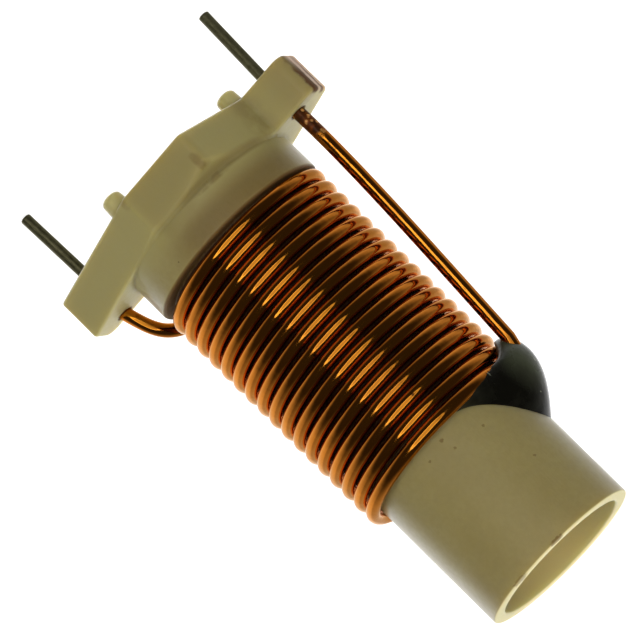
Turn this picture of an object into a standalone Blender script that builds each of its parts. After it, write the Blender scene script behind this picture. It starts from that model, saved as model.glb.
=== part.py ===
"""Fixed inductor: a single layer of enamelled wire on a moulded plastic former.

Three pieces: the former (tube, collar, base with two ears and four standoffs, one moulding),
the winding wire (one length of wire from one lead to the other) and a blob of adhesive that
holds the wire where it leaves the coil.

Frame: metres, +Z along the tube towards its open end. The origin is on the tube's axis, in the
plane of the standoffs' feet, which is the board's surface. Both leads lie in the XZ plane.
"""
import math

import bmesh
import bpy
from mathutils import Vector
from mathutils.geometry import interpolate_bezier

MM = 0.001

# Tube and collar
TUBE_RADIUS = 6.33 * MM
RIM_HEIGHT = 39.1 * MM
RIM_EDGE = 0.12 * MM
BORE_RADIUS_RIM = 5.30 * MM
BORE_RADIUS_BASE = 5.16 * MM
BORE_CHAMFER = 0.15 * MM
COLLAR_RADIUS = 7.38 * MM
COLLAR_TOP = 7.72 * MM
COLLAR_EDGE = 0.20 * MM
ROUND_SIDES = 48

# Base block with its ears, on an outline that turns into itself by half a turn
BASE_BOTTOM = 1.2 * MM
BASE_TOP = 4.7 * MM
SIDE_DISTANCE = 7.46 * MM       # axis to each ear's slanted side and to each back slope
FRONT_DISTANCE = 7.70 * MM      # axis to the flat between them
EAR_SLANT = math.radians(30.5)
BACK_SLOPE = math.radians(63.0)
EAR_REACH = 11.8 * MM
EAR_INNER_SIDE = 1.2 * MM       # from the leads' plane to an ear's straight side
BLOCK_EDGE = 0.15 * MM
EAR_TIP_CORNER = 0.18 * MM
SLANT_CORNER = 0.70 * MM
SLOPE_CORNER = 0.60 * MM
EAR_ROOT_FILLET = 0.35 * MM
EAR_OUTER_CORNER = 0.45 * MM
TOP_SLOPE = math.radians(30.0)  # the block's top falls away outside the collar, ears excepted
SLOPE_START = 0.05 * MM         # how far inside the collar's surface it begins
SLOPE_REACH = 2.2 * MM          # how far outside the collar the cut for it goes
SLOPE_STEPS = 10
BEVEL_SEGMENTS = 2
BEVEL_LIMIT = math.radians(60.0)

# Standoffs: two places, and the same two turned by half a turn
STANDOFF_PLACES = ((2.62 * MM, -6.10 * MM), (-6.75 * MM, -0.60 * MM))
STANDOFF_ROOT_RADIUS = 0.86 * MM
STANDOFF_FOOT_RADIUS = 0.80 * MM
STANDOFF_EDGE = 0.32 * MM
STANDOFF_EDGE_STEPS = 3
STANDOFF_SINK = 0.2 * MM        # how far its root runs up into the base
STANDOFF_SIDES = 20
BODY_SINK = 0.5 * MM            # how far above the base's bottom the turned body begins
OVERRUN = 1.0 * MM              # how far a cut goes past the surface it opens

# Wire: enamelled along the coil, stripped and tinned at the leads
WIRE_RADIUS = 0.51 * MM
TINNED_RADIUS = 0.415 * MM
LEAD_X = 9.525 * MM
LEAD_HOLE_RADIUS = 0.58 * MM
START_TIP = (9.72 * MM, -5.31 * MM)
END_TIP = (-9.77 * MM, -5.03 * MM)
TIP_ROUNDING = 0.12 * MM
TINNING_END = 2.4 * MM          # height where the enamel begins, inside the ear
ENAMEL_STEP = 0.3 * MM
WIRE_SIDES = 8
STEPS_PER_TURN = 24
START_STEPS = 13
BEND_STEPS = 14
RETURN_STEPS = 9

# Coil
COIL_RADIUS = 6.92 * MM         # to the wire's centre
COIL_PITCH = 1.19 * MM
COIL_HEIGHT_AT_ZERO = 7.73 * MM
FIRST_TURN_HEIGHT = 8.31 * MM   # the first half turn lies flat on the collar
COIL_START = math.radians(48.0)
COIL_TURNS = 17
COIL_END = math.radians(150.0) + COIL_TURNS * 2.0 * math.pi

# Handles of the wire's free curves: up from the start ear, over the bend and down to the end ear
START_LEAN = Vector((-0.80, 0.0, 3.0)) * MM
START_LANDING = 5.6 * MM
START_LANDING_RISE = 0.30 * MM
BEND_REACH = 3.2 * MM
BEND_RISE = 0.30 * MM
BEND_TURN = Vector((0.35, 0.0, 1.4)) * MM
RETURN_TOP = Vector((-8.50, 0.0, 26.2)) * MM
RETURN_DOWN = Vector((-0.45, 0.0, -7.0)) * MM
RETURN_UP = Vector((-0.12, 0.0, 6.0)) * MM

# Adhesive: a fillet on the last turn that swells into a lump over the wire's bend
GLUE_GAP = 0.04 * MM
GLUE_START = math.radians(118.0)
GLUE_MIDDLE = math.radians(168.0)
GLUE_END = math.radians(236.0)
GLUE_FRONT_SPAN = math.radians(75.0)
GLUE_BACK_SPAN = math.radians(58.0)
GLUE_PEAK = 31.9 * MM
GLUE_FRONT_FOOT = 27.9 * MM
GLUE_BACK_FOOT = 28.9 * MM
GLUE_ROOT_RADIUS = TUBE_RADIUS - 0.4 * MM
GLUE_CREST_RADIUS = COIL_RADIUS + WIRE_RADIUS * 0.88
COIL_SIDE_RADIUS = COIL_RADIUS + WIRE_RADIUS + GLUE_GAP
LUMP_TURN = math.radians(177.0)
LUMP_SPREAD = math.radians(18.0)
LUMP_SWELL = 1.45 * MM
LUMP_RISE = 0.3 * MM
SKIRT_SPREAD = math.radians(12.0)
SKIRT_DEPTH = 1.5 * MM
SKIRT_EDGE = 0.25 * MM
HEM_INSET = 0.02 * MM
SEAT_INSET = 0.01 * MM
HELD_TURNS = 3.0                # turns of wire that the adhesive is cut to
GLUE_STEPS = 24
CROWN_STEPS = 7
SKIRT_STEPS = 4

# Edges steeper than this are shaded sharp
FORMER_SHARP = math.radians(35.0)
WIRE_SHARP = math.radians(60.0)
ADHESIVE_SHARP = math.radians(50.0)


def clear_scene():
    for thing in list(bpy.data.objects):
        bpy.data.objects.remove(thing, do_unlink=True)


def add_object(name, mesh):
    thing = bpy.data.objects.new(name, mesh)
    bpy.context.scene.collection.objects.link(thing)
    return thing


def plain_material(name, colour, roughness, metallic=0.0):
    material = bpy.data.materials.new(name)
    material.use_nodes = True
    shader = material.node_tree.nodes["Principled BSDF"]
    shader.inputs["Base Color"].default_value = (*colour, 1.0)
    shader.inputs["Roughness"].default_value = roughness
    shader.inputs["Metallic"].default_value = metallic
    return material


def shade_round(thing, sharp_angle):
    thing.data.shade_smooth()
    thing.data.set_sharp_from_angle(angle=sharp_angle)


def as_helper(thing):
    """Marks a tool body that only joins or cuts another piece."""
    thing.hide_render = True
    thing.display_type = 'WIRE'
    return thing


def combine(target, tool, operation, tool_meets_itself=False):
    step = target.modifiers.new(f"{operation.lower()}_{tool.name}", 'BOOLEAN')
    step.operation = operation
    step.solver = 'EXACT'
    step.use_self = tool_meets_itself
    step.object = as_helper(tool)


def turned_solid(name, profile, centre=(0.0, 0.0), sides=ROUND_SIDES):
    """Turns (radius, height) points, listed from the bottom to the top, about a vertical axis."""
    shape = bmesh.new()
    rings = []
    for radius, height in profile:
        ring = []
        for index in range(sides):
            turn = 2.0 * math.pi * index / sides
            place = (centre[0] + radius * math.cos(turn), centre[1] + radius * math.sin(turn), height)
            ring.append(shape.verts.new(place))
        rings.append(ring)
    for lower, upper in zip(rings, rings[1:]):
        for index in range(sides):
            after = (index + 1) % sides
            shape.faces.new((lower[index], lower[after], upper[after], upper[index]))
    shape.faces.new(list(reversed(rings[0])))
    shape.faces.new(rings[-1])
    mesh = bpy.data.meshes.new(name)
    shape.to_mesh(mesh)
    shape.free()
    return add_object(name, mesh)


def rounded_corner(before, corner, after, radius, steps=3):
    """Points of an arc that rounds one corner of a flat outline."""
    to_before = (before - corner).normalized()
    to_after = (after - corner).normalized()
    half_angle = to_before.angle(to_after) / 2.0
    cut = radius / math.tan(half_angle)
    centre = corner + (to_before + to_after).normalized() * (radius / math.sin(half_angle))
    first = corner + to_before * cut - centre
    last = corner + to_after * cut - centre
    sweep = first.angle(last)
    points = []
    for step in range(steps + 1):
        share = step / steps
        blend = first * math.sin((1.0 - share) * sweep) + last * math.sin(share * sweep)
        points.append(centre + blend / math.sin(sweep))
    return points


def ear_root():
    """Where the -X ear's straight side meets the back slope, in plan."""
    x = -(SIDE_DISTANCE - math.cos(BACK_SLOPE) * EAR_INNER_SIDE) / math.sin(BACK_SLOPE)
    return Vector((x, -EAR_INNER_SIDE))


def base_outline():
    """The base's plan, anticlockwise: half of it, then the same half turned by 180 degrees."""
    front = -FRONT_DISTANCE
    slant_x = (SIDE_DISTANCE + math.cos(EAR_SLANT) * front) / math.sin(EAR_SLANT)
    tip_y = (math.sin(EAR_SLANT) * EAR_REACH - SIDE_DISTANCE) / math.cos(EAR_SLANT)
    slope_x = -(SIDE_DISTANCE + math.cos(BACK_SLOPE) * front) / math.sin(BACK_SLOPE)
    half = [
        (Vector((EAR_REACH, tip_y)), EAR_TIP_CORNER),
        (Vector((slant_x, front)), SLANT_CORNER),
        (Vector((slope_x, front)), SLOPE_CORNER),
        (ear_root(), EAR_ROOT_FILLET),
        (Vector((-EAR_REACH, -EAR_INNER_SIDE)), EAR_OUTER_CORNER),
    ]
    corners = half + [(-place, radius) for place, radius in half]
    points = []
    for index, (corner, radius) in enumerate(corners):
        before = corners[index - 1][0]
        after = corners[(index + 1) % len(corners)][0]
        points.extend(rounded_corner(before, corner, after, radius))
    return list(reversed(points))


def slope_cutter(name, turned_by):
    """What is taken off the block's top: outside a cone, from one ear's root to the slanted side."""
    fall = math.tan(TOP_SLOPE)
    inner = COLLAR_RADIUS - SLOPE_START
    outer = COLLAR_RADIUS + SLOPE_REACH
    profile = [
        (inner, BASE_TOP),
        (outer, BASE_TOP - fall * (outer - inner)),
        (outer, BASE_TOP + OVERRUN),
        (inner, BASE_TOP + OVERRUN),
    ]
    root = ear_root()
    first = math.atan2(root.y, root.x)
    last = EAR_SLANT - math.pi / 2.0
    shape = bmesh.new()
    sections = []
    for step in range(SLOPE_STEPS + 1):
        turn = turned_by + first + (last - first) * step / SLOPE_STEPS
        section = []
        for radius, height in profile:
            section.append(shape.verts.new((radius * math.cos(turn), radius * math.sin(turn), height)))
        sections.append(section)
    for one, two in zip(sections, sections[1:]):
        for index in range(len(profile)):
            after = (index + 1) % len(profile)
            shape.faces.new((one[index], two[index], two[after], one[after]))
    shape.faces.new(sections[0])
    shape.faces.new(list(reversed(sections[-1])))
    bmesh.ops.recalc_face_normals(shape, faces=shape.faces)
    mesh = bpy.data.meshes.new(name)
    shape.to_mesh(mesh)
    shape.free()
    return add_object(name, mesh)


def base_block():
    shape = bmesh.new()
    lower = [shape.verts.new((point.x, point.y, BASE_BOTTOM)) for point in base_outline()]
    floor = shape.faces.new(lower)
    raised = bmesh.ops.extrude_face_region(shape, geom=[floor])
    upper = [item for item in raised["geom"] if isinstance(item, bmesh.types.BMVert)]
    bmesh.ops.translate(shape, verts=upper, vec=(0.0, 0.0, BASE_TOP - BASE_BOTTOM))
    bmesh.ops.recalc_face_normals(shape, faces=shape.faces)
    mesh = bpy.data.meshes.new("base_block")
    shape.to_mesh(mesh)
    shape.free()
    block = add_object("base_block", mesh)
    edge = block.modifiers.new("moulded_edges", 'BEVEL')
    edge.width = BLOCK_EDGE
    edge.segments = BEVEL_SEGMENTS
    edge.limit_method = 'ANGLE'
    edge.angle_limit = BEVEL_LIMIT
    combine(block, slope_cutter("near_slope", 0.0), 'DIFFERENCE')
    combine(block, slope_cutter("far_slope", math.pi), 'DIFFERENCE')
    return block


def rounded_step(radius, top, edge):
    """The three points that round off a turned profile's upper outside edge."""
    inset = edge * (1.0 - math.sqrt(0.5))
    return [(radius, top - edge), (radius - inset, top - inset), (radius - edge, top)]


def standoff(index, place):
    """A short drafted stud with a rounded flat foot at height zero."""
    foot = STANDOFF_FOOT_RADIUS
    profile = [(foot - STANDOFF_EDGE, 0.0)]
    for step in range(1, STANDOFF_EDGE_STEPS + 1):
        turn = math.pi / 2.0 * step / STANDOFF_EDGE_STEPS
        rise = STANDOFF_EDGE * (1.0 - math.cos(turn))
        profile.append((foot - STANDOFF_EDGE + STANDOFF_EDGE * math.sin(turn), rise))
    profile.append((STANDOFF_ROOT_RADIUS, BASE_BOTTOM + STANDOFF_SINK))
    return turned_solid(f"standoff_{index}", profile, place, STANDOFF_SIDES)


def build_former():
    """Tube, collar, base, ears and standoffs: one moulding, with a bore right through."""
    body_profile = [(COLLAR_RADIUS, BASE_BOTTOM + BODY_SINK)]
    body_profile += rounded_step(COLLAR_RADIUS, COLLAR_TOP, COLLAR_EDGE)
    body_profile += [(TUBE_RADIUS, COLLAR_TOP)]
    body_profile += rounded_step(TUBE_RADIUS, RIM_HEIGHT, RIM_EDGE)
    former = turned_solid("former", body_profile)
    combine(former, base_block(), 'UNION')
    places = [Vector(place) for place in STANDOFF_PLACES]
    for index, place in enumerate(places + [-place for place in places]):
        combine(former, standoff(index + 1, place), 'UNION')

    bore_profile = [
        (BORE_RADIUS_BASE + BORE_CHAMFER + OVERRUN, BASE_BOTTOM - OVERRUN),
        (BORE_RADIUS_BASE, BASE_BOTTOM + BORE_CHAMFER),
        (BORE_RADIUS_RIM, RIM_HEIGHT - BORE_CHAMFER),
        (BORE_RADIUS_RIM + BORE_CHAMFER + OVERRUN, RIM_HEIGHT + OVERRUN),
    ]
    combine(former, turned_solid("bore", bore_profile), 'DIFFERENCE')
    for side, name in ((1.0, "start_hole"), (-1.0, "end_hole")):
        hole = [
            (LEAD_HOLE_RADIUS, BASE_BOTTOM - OVERRUN),
            (LEAD_HOLE_RADIUS, BASE_TOP + OVERRUN),
        ]
        cutter = turned_solid(name, hole, (side * LEAD_X, 0.0), STANDOFF_SIDES)
        combine(former, cutter, 'DIFFERENCE')
    former.data.materials.append(plain_material("ivory_plastic", (0.55, 0.51, 0.36), 0.42))
    shade_round(former, FORMER_SHARP)


def coil_height(turn):
    """Height of the wire's centre after this much turn, from the +X side."""
    return max(FIRST_TURN_HEIGHT, COIL_HEIGHT_AT_ZERO + COIL_PITCH * turn / (2.0 * math.pi))


def coil_point(turn):
    return Vector((COIL_RADIUS * math.cos(turn), COIL_RADIUS * math.sin(turn), coil_height(turn)))


def coil_direction(turn):
    return Vector((-math.sin(turn), math.cos(turn), 0.0))


def start_lead_route():
    """Up from the +X ear, leaning in, over the collar's edge and on to the coil."""
    ear = Vector((LEAD_X, 0.0, BASE_TOP))
    landing = coil_point(COIL_START)
    approach = landing - coil_direction(COIL_START) * START_LANDING
    approach.z += START_LANDING_RISE
    return interpolate_bezier(ear, ear + START_LEAN, approach, landing, START_STEPS)


def coil_route():
    first = round(COIL_START / (2.0 * math.pi) * STEPS_PER_TURN)
    last = round(COIL_END / (2.0 * math.pi) * STEPS_PER_TURN)
    step = 2.0 * math.pi / STEPS_PER_TURN
    return [coil_point(index * step) for index in range(first + 1, last)]


def bend_route():
    """Off the coil along its tangent, then down into the return run."""
    leaving = coil_point(COIL_END)
    outwards = leaving + coil_direction(COIL_END) * BEND_REACH
    outwards.z += BEND_RISE
    return interpolate_bezier(leaving, outwards, RETURN_TOP + BEND_TURN, RETURN_TOP, BEND_STEPS)


def return_route():
    """Down beside the coil, slightly bowed, into the -X ear."""
    ear = Vector((-LEAD_X, 0.0, BASE_TOP))
    return interpolate_bezier(RETURN_TOP, RETURN_TOP + RETURN_DOWN, ear + RETURN_UP, ear, RETURN_STEPS)


def wire_stations(extra=0.0):
    """(centre, radius) along the whole wire, from the +X lead's tip to the -X lead's tip."""
    enamelled = WIRE_RADIUS + extra
    tinned = TINNED_RADIUS + extra

    def lead(tip, side):
        foot = Vector((tip[0], 0.0, tip[1]))
        board = Vector((side * LEAD_X, 0.0, BASE_BOTTOM))
        inside = Vector((side * LEAD_X, 0.0, TINNING_END))
        above = Vector((side * LEAD_X, 0.0, TINNING_END + ENAMEL_STEP))
        shoulder = foot + (board - foot).normalized() * TIP_ROUNDING
        return [(foot, tinned - TIP_ROUNDING), (shoulder, tinned), (board, tinned),
                (inside, tinned), (above, enamelled)]

    middle = start_lead_route() + coil_route() + bend_route() + return_route()[1:]
    run = [(point, enamelled) for point in middle]
    return lead(START_TIP, 1.0) + run + list(reversed(lead(END_TIP, -1.0)))


def swept_wire(name, stations, sides=WIRE_SIDES):
    """A round tube along the stations, its flats square to the line from the tube's axis."""
    fill_out = math.sqrt(2.0 * math.pi / (sides * math.sin(2.0 * math.pi / sides)))
    shape = bmesh.new()
    rings = []
    for index, (centre, radius) in enumerate(stations):
        before = stations[max(index - 1, 0)][0]
        after = stations[min(index + 1, len(stations) - 1)][0]
        along = (after - before).normalized()
        outwards = Vector((centre.x, centre.y, 0.0)).normalized()
        outwards = (outwards - along * outwards.dot(along)).normalized()
        across = along.cross(outwards)
        ring = []
        for side in range(sides):
            turn = 2.0 * math.pi * (side + 0.5) / sides
            offset = outwards * math.cos(turn) + across * math.sin(turn)
            ring.append(shape.verts.new(centre + offset * radius * fill_out))
        rings.append(ring)
    for lower, upper in zip(rings, rings[1:]):
        for side in range(sides):
            after = (side + 1) % sides
            shape.faces.new((lower[side], lower[after], upper[after], upper[side]))
    shape.faces.new(list(reversed(rings[0])))
    shape.faces.new(rings[-1])
    bmesh.ops.triangulate(shape, faces=shape.faces)
    mesh = bpy.data.meshes.new(name)
    shape.to_mesh(mesh)
    shape.free()
    return add_object(name, mesh)


def build_winding():
    winding = swept_wire("winding_wire", wire_stations())
    winding.data.materials.append(plain_material("copper_enamel", (0.45, 0.16, 0.04), 0.25, 0.8))
    shade_round(winding, WIRE_SHARP)


def glue_foot(turn):
    """Height where the adhesive ends on the tube, at this turn about the axis."""
    if turn > GLUE_MIDDLE:
        foot, span = GLUE_FRONT_FOOT, GLUE_FRONT_SPAN
    else:
        foot, span = GLUE_BACK_FOOT, GLUE_BACK_SPAN
    share = min(abs(turn - GLUE_MIDDLE) / span, 1.0)
    return foot + (GLUE_PEAK - foot) * math.cos(math.pi / 2.0 * share) ** 2


def glue_section(turn):
    """(radius, height) points of the adhesive's section, at this turn about the axis."""
    last_turn = COIL_TURNS - 1
    if turn + COIL_TURNS * 2.0 * math.pi < COIL_END:
        last_turn = COIL_TURNS
    seat = coil_height(turn + last_turn * 2.0 * math.pi)
    foot = glue_foot(turn)
    lump = math.exp(-((turn - LUMP_TURN) / LUMP_SPREAD) ** 2)
    skirt = math.exp(-((turn - LUMP_TURN) / SKIRT_SPREAD) ** 2)
    outside = GLUE_CREST_RADIUS + LUMP_SWELL * lump
    middle = seat + LUMP_RISE * lump
    hem = min(outside - HEM_INSET, COIL_SIDE_RADIUS)
    bottom = seat - SKIRT_EDGE - SKIRT_DEPTH * skirt

    section = [(GLUE_ROOT_RADIUS, foot)]
    for step in range(CROWN_STEPS + 1):
        share = step / CROWN_STEPS
        height = foot + (middle - foot) * share
        section.append((TUBE_RADIUS + (outside - TUBE_RADIUS) * (1.0 - (1.0 - share) ** 2), height))
    for step in range(1, SKIRT_STEPS + 1):
        angle = math.pi / 2.0 * step / SKIRT_STEPS
        radius = hem + (outside - hem) * math.cos(angle)
        section.append((radius, middle + (bottom - middle) * math.sin(angle)))
    section.append((hem - SEAT_INSET, seat))
    section.append((GLUE_ROOT_RADIUS, seat))
    return section


def glue_body():
    """The adhesive before it is cut to the tube and the wire, swept round part of the tube."""
    shape = bmesh.new()
    rings = []
    for step in range(GLUE_STEPS + 1):
        turn = GLUE_START + (GLUE_END - GLUE_START) * step / GLUE_STEPS
        ring = []
        for radius, height in glue_section(turn):
            ring.append(shape.verts.new((radius * math.cos(turn), radius * math.sin(turn), height)))
        rings.append(ring)
    count = len(rings[0])
    for one, two in zip(rings, rings[1:]):
        for index in range(count):
            after = (index + 1) % count
            shape.faces.new((one[index], two[index], two[after], one[after]))
    shape.faces.new(rings[0])
    shape.faces.new(list(reversed(rings[-1])))
    bmesh.ops.recalc_face_normals(shape, faces=shape.faces)
    bmesh.ops.triangulate(shape, faces=shape.faces)
    mesh = bpy.data.meshes.new("adhesive")
    shape.to_mesh(mesh)
    shape.free()
    return add_object("adhesive", mesh)


def held_stations():
    """The wire near the adhesive, a little fatter than it is, without the coil's lower turns."""
    stations = wire_stations(GLUE_GAP)
    lowest = coil_height(COIL_END) - HELD_TURNS * COIL_PITCH
    start = next(i for i, (centre, _) in enumerate(stations) if centre.z > lowest)
    end = next(i for i, (centre, _) in enumerate(stations)
               if i > start and centre.z < lowest - COIL_PITCH)
    return stations[start:end + 1]


def build_adhesive():
    adhesive = glue_body()
    tube_side = [
        (TUBE_RADIUS + GLUE_GAP, COLLAR_TOP),
        (TUBE_RADIUS + GLUE_GAP, RIM_HEIGHT),
    ]
    combine(adhesive, turned_solid("tube_side", tube_side), 'DIFFERENCE')
    wire_side = swept_wire("wire_side", held_stations())
    combine(adhesive, wire_side, 'DIFFERENCE', tool_meets_itself=True)
    adhesive.data.materials.append(plain_material("black_adhesive", (0.012, 0.012, 0.012), 0.35))
    shade_round(adhesive, ADHESIVE_SHARP)


clear_scene()
build_former()
build_winding()
build_adhesive()
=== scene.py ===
import math

import bmesh
import bpy
from mathutils import Matrix, Vector
from mathutils.geometry import interpolate_bezier


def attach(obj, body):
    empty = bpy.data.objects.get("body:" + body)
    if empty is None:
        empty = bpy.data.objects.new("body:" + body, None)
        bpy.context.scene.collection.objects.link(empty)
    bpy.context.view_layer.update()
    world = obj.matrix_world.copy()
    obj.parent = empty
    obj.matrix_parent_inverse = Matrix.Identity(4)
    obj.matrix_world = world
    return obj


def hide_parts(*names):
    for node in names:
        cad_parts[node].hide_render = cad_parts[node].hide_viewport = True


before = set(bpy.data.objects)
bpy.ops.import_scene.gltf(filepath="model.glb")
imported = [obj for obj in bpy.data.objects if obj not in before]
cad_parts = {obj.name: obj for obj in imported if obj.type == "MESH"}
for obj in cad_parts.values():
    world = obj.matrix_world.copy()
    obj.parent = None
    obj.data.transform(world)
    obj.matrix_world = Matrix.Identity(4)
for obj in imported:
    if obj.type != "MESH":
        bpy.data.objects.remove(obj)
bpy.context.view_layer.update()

MM = 0.001
QUARTER_TURN = math.pi / 2.0
FULL_TURN = 2.0 * math.pi


def tone(red, green, blue):
    """A colour written as it shows on a screen, 0 to 255, as linear light."""
    def linear(part):
        share = part / 255.0
        return share / 12.92 if share <= 0.04045 else ((share + 0.055) / 1.055) ** 2.4
    return (linear(red), linear(green), linear(blue), 1.0)


# Tube and collar
TUBE_RADIUS = 6.33 * MM
RIM_HEIGHT = 39.1 * MM
RIM_EDGE = 0.16 * MM
BORE_RADIUS_RIM = 5.30 * MM
BORE_RADIUS_BASE = 5.16 * MM
BORE_EDGE = 0.13 * MM
COLLAR_RADIUS = 7.38 * MM
COLLAR_TOP = 7.72 * MM
COLLAR_EDGE = 0.24 * MM
COLLAR_SINK = 0.5 * MM
COLLAR_FOOT_FILLET = 0.22 * MM
COLLAR_FOOT_WIDTH = 0.8
COLLAR_FOOT_STEEPEST = 0.97
TUBE_FOOT_FILLET = 0.10 * MM
TUBE_SIDES = 160
COLLAR_RINGS = 28
TUBE_RINGS = 12
HOLE_OVERRUN = 1.0 * MM

# Base block with its ears
BASE_BOTTOM = 1.2 * MM
BASE_TOP = 4.7 * MM
SIDE_DISTANCE = 7.46 * MM
FRONT_DISTANCE = 7.70 * MM
EAR_SLANT = math.radians(30.5)
BACK_SLOPE = math.radians(63.0)
EAR_REACH = 11.8 * MM
EAR_INNER_SIDE = 1.2 * MM
BLOCK_EDGE = 0.26 * MM
BLOCK_EDGE_STEPS = 6
BLOCK_SIDE_SHARES = (0.25, 0.5, 0.75)
EAR_TIP_CORNER = 0.36 * MM
SLANT_CORNER = 0.70 * MM
SLOPE_CORNER = 0.60 * MM
EAR_ROOT_FILLET = 0.45 * MM
EAR_OUTER_CORNER = 0.95 * MM
TOP_SLOPE = math.radians(30.0)
TOP_SLOPE_BEGINS = (-1.0, 3.0)
TOP_SLOPE_STOPS = (-6.0, 0.0)
TOP_RINGS = 14
TOP_CROWDING = 0.7
TOP_INNER_RADIUS = COLLAR_RADIUS - 0.25 * MM
OUTLINE_STEP = 0.30 * MM
FLAT_ANGLE = math.radians(32.0)

# Standoffs
STANDOFF_PLACES = ((2.62 * MM, -6.10 * MM), (-6.75 * MM, -0.60 * MM))
STANDOFF_ROOT_RADIUS = 0.86 * MM
STANDOFF_FOOT_RADIUS = 0.80 * MM
STANDOFF_EDGE = 0.42 * MM
STANDOFF_SINK = 0.2 * MM
STANDOFF_SIDES = 48

# Wire
WIRE_RADIUS = 0.51 * MM
TINNED_RADIUS = 0.415 * MM
LEAD_X = 9.525 * MM
LEAD_HOLE_RADIUS = 0.58 * MM
LEAD_HOLE_EDGE = 0.08 * MM
START_TIP = (9.72 * MM, -5.31 * MM)
END_TIP = (-9.77 * MM, -5.03 * MM)
TIP_ROUNDING = 0.12 * MM
TIP_STEPS = 5
LEAD_STEPS = 20
TINNING_END = 2.4 * MM
ENAMEL_STEP = 0.3 * MM
STEPS_PER_TURN = 96
WIRE_SIDES = 24
WIRE_END_ANGLE = math.radians(50.0)
WIRE_UNEVENNESS = 0.02 * MM
WIRE_SWAYS_PER_METRE = 330.0
WIRE_SEED = 7

# Coil
COIL_RADIUS = 6.92 * MM
COIL_PITCH = 1.19 * MM
COIL_HEIGHT_AT_ZERO = 7.73 * MM
FIRST_TURN_HEIGHT = 8.31 * MM
COIL_START = math.radians(48.0)
COIL_TURNS = 17
COIL_END = math.radians(150.0) + COIL_TURNS * FULL_TURN
COIL_LEAVING = 0.3 * MM

# Handles of the wire's free curves
START_LEAN = Vector((-0.80, 0.0, 3.0)) * MM
START_LANDING = 5.6 * MM
START_LANDING_RISE = 0.30 * MM
START_STEPS = 48
BEND_REACH = 3.2 * MM
BEND_RISE = 0.30 * MM
BEND_TURN = Vector((0.35, 0.0, 1.4)) * MM
BEND_STEPS = 48
RETURN_TOP = Vector((-8.50, 0.0, 26.2)) * MM
RETURN_DOWN = Vector((-0.45, 0.0, -7.0)) * MM
RETURN_UP = Vector((-0.12, 0.0, 6.0)) * MM
RETURN_STEPS = 60

# Adhesive
GLUE_START = math.radians(118.0)
GLUE_MIDDLE = math.radians(168.0)
GLUE_END = math.radians(236.0)
GLUE_FRONT_SPAN = math.radians(75.0)
GLUE_BACK_SPAN = math.radians(58.0)
GLUE_PEAK = 31.9 * MM
GLUE_FRONT_FOOT = 27.9 * MM
GLUE_BACK_FOOT = 28.9 * MM
GLUE_ROOT_RADIUS = TUBE_RADIUS - 0.4 * MM
GLUE_CREST_RADIUS = COIL_RADIUS + WIRE_RADIUS * 0.88
COIL_SIDE_RADIUS = COIL_RADIUS + WIRE_RADIUS + 0.04 * MM
LUMP_TURN = math.radians(177.0)
LUMP_SPREAD = math.radians(18.0)
LUMP_SWELL = 1.45 * MM
LUMP_RISE = 0.3 * MM
SKIRT_SPREAD = math.radians(12.0)
SKIRT_DEPTH = 1.5 * MM
SKIRT_EDGE = 0.25 * MM
HEM_MARGIN = 0.02 * MM
HEM_STEP = 0.01 * MM
GLUE_STEPS = 96
CROWN_STEPS = 20
SKIRT_STEPS = 10
GLUE_GRAIN = 0.07 * MM
GLUE_EASING_PASSES = 6

# Plastic: colours
IVORY = tone(153, 139, 88)
IVORY_CLOUDED = tone(158, 145, 94)
IVORY_MOTTLED = tone(144, 131, 82)
IVORY_BASE = tone(167, 156, 100)
IVORY_FEET = tone(178, 170, 116)
# Painted light: the bore is lighter inside, standing in for light that comes through the wall
BORE_PAINTED_LIGHT = tone(188, 181, 130)
# Painted light: the block's upward-facing top is lighter, where light from above falls on it
TOP_FACE_PAINTED_LIGHT = tone(188, 180, 126)
# Painted highlight: a bright line on the rim's top face
RIM_PAINTED_HIGHLIGHT = tone(226, 212, 154)
SPECK_BROWN = tone(80, 64, 36)
SHADE_BROWN = tone(104, 76, 34)
# Painted shade on the -X ear's near side, deeper towards its end
EAR_PAINTED_SHADE = tone(120, 92, 52)
EAR_END_PINK = tone(196, 160, 138)
# Painted shade on the collar's top edge and the tube under the coil, where the turns shade it
WOUND_PAINTED_SHADE = tone(112, 86, 44)
MARK_BROWN = tone(100, 68, 38)
# Painted shade on the tube between and under the turns
UNDER_COIL_PAINTED_SHADE = tone(50, 20, 7)

# Plastic: soft brown painted shade, in millimetres. Each has its spot in plan, how far out it is
# full and where it is gone, the heights between which it comes in and goes out, and its strength.
SMALL_SHADES = (
    ((-7.50, -1.70), (0.2, 1.7), None, (4.8, 5.6), 0.55),      # root of the -X ear
    ((-4.05, -7.60), (0.15, 0.60), (2.3, 3.0), None, 1.0),     # block's corner on the -X side
    ((1.63, -7.50), (0.15, 0.60), None, (1.6, 2.3), 1.0),      # foot of the front face
)
WIDE_SHADES = (
    ((-3.7, -6.4), (3.5, 6.5), (6.5, 7.9), (7.92, 8.32), 0.90),    # collar's upper edge
    ((-4.0, -6.2), (3.5, 7.5), (4.6, 6.6), (7.72, 8.22), 0.95),    # collar's near side
    ((-4.6, -6.2), (3.0, 6.0), (4.0, 4.5), (4.75, 5.1), 0.75),     # block's upper edge
)
LEDGE_SPOT = (-3.37, -6.70, 4.9)
LEDGE_RADIUS = 7.45 * MM
FRONT_SHADE = 0.42

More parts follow.
